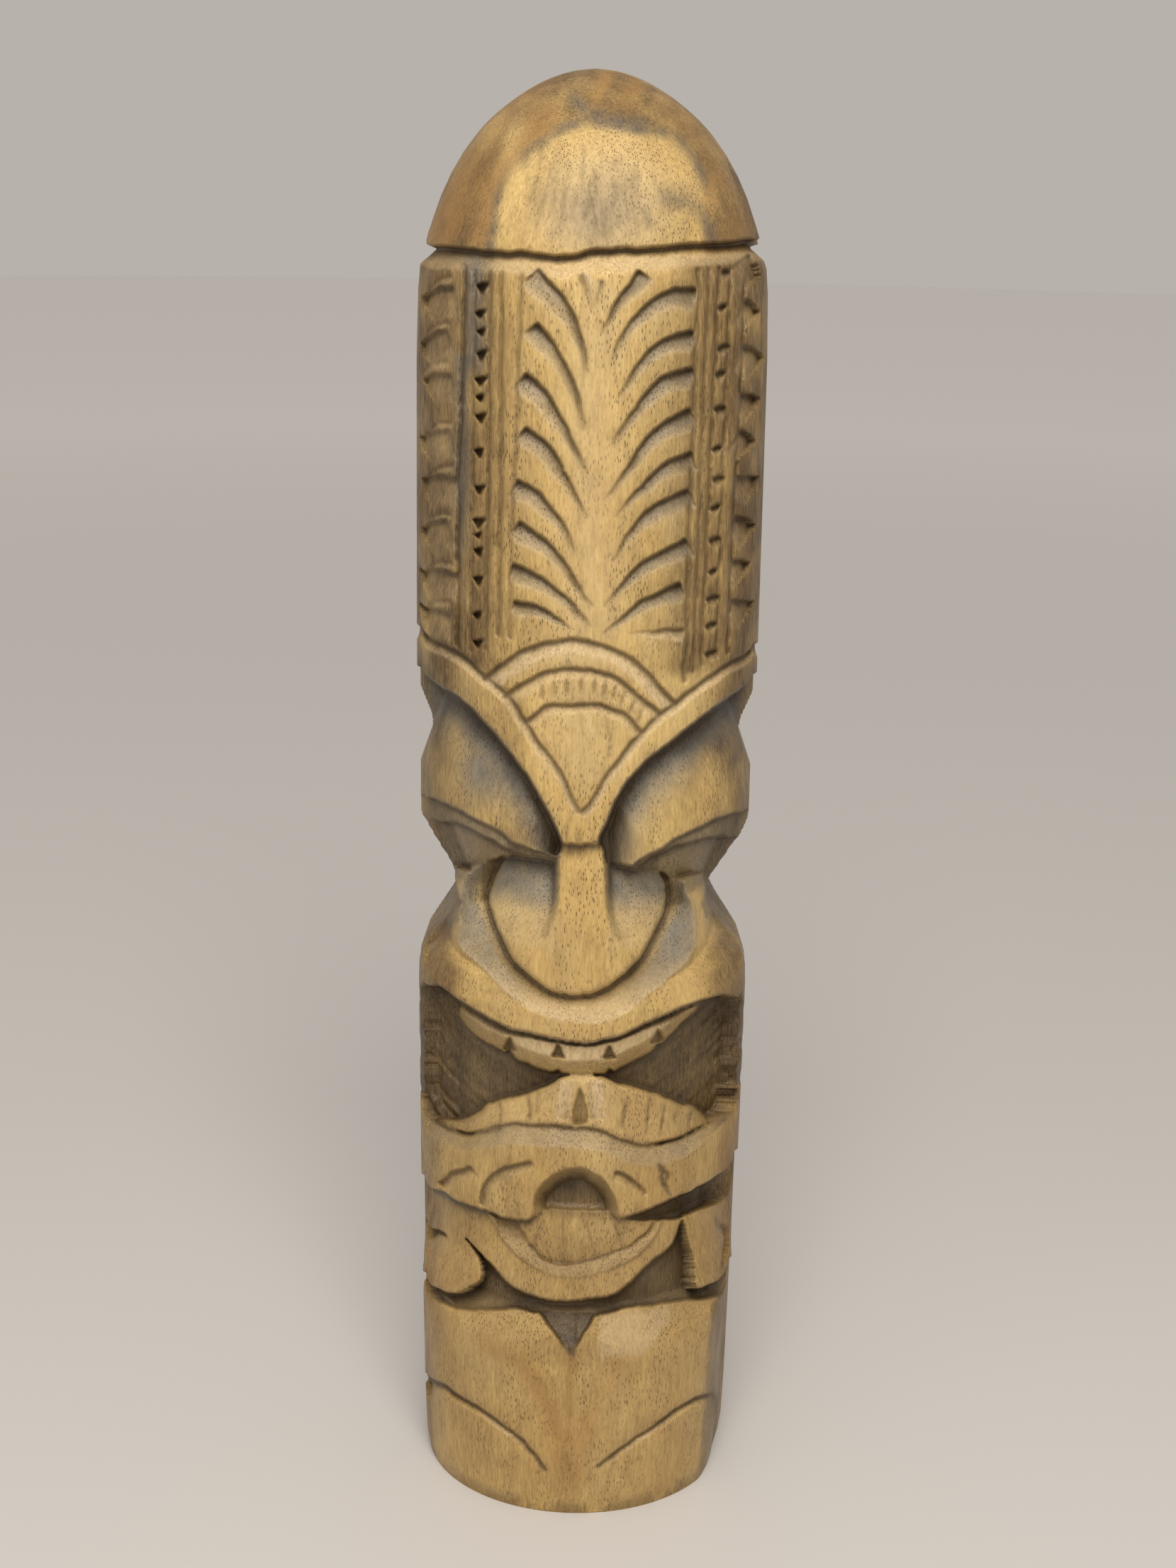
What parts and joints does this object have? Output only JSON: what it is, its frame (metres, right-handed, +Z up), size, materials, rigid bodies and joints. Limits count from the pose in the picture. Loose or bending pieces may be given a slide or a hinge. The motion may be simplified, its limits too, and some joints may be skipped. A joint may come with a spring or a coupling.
{
  "type": "tiki figure",
  "caption": "Upright carved wooden tiki figure with a domed cap, fern headdress, V brow, broad nose, open toothed mouth and a flat base.",
  "frame": {"origin": "middle of the flat base", "axes": "+Z up through the cap, the carved face looks along -Y, +X to the right of someone facing it"},
  "size_m": [0.0706, 0.066, 0.3],
  "materials": {
    "carved_wood": "oiled pale hardwood, brown patina on the rounded sides and cap, fresh pale wood in the gouge cuts"
  },
  "bodies": {
    "root": {"carved_figure": "carved_wood"}
  },
  "joints": []
}
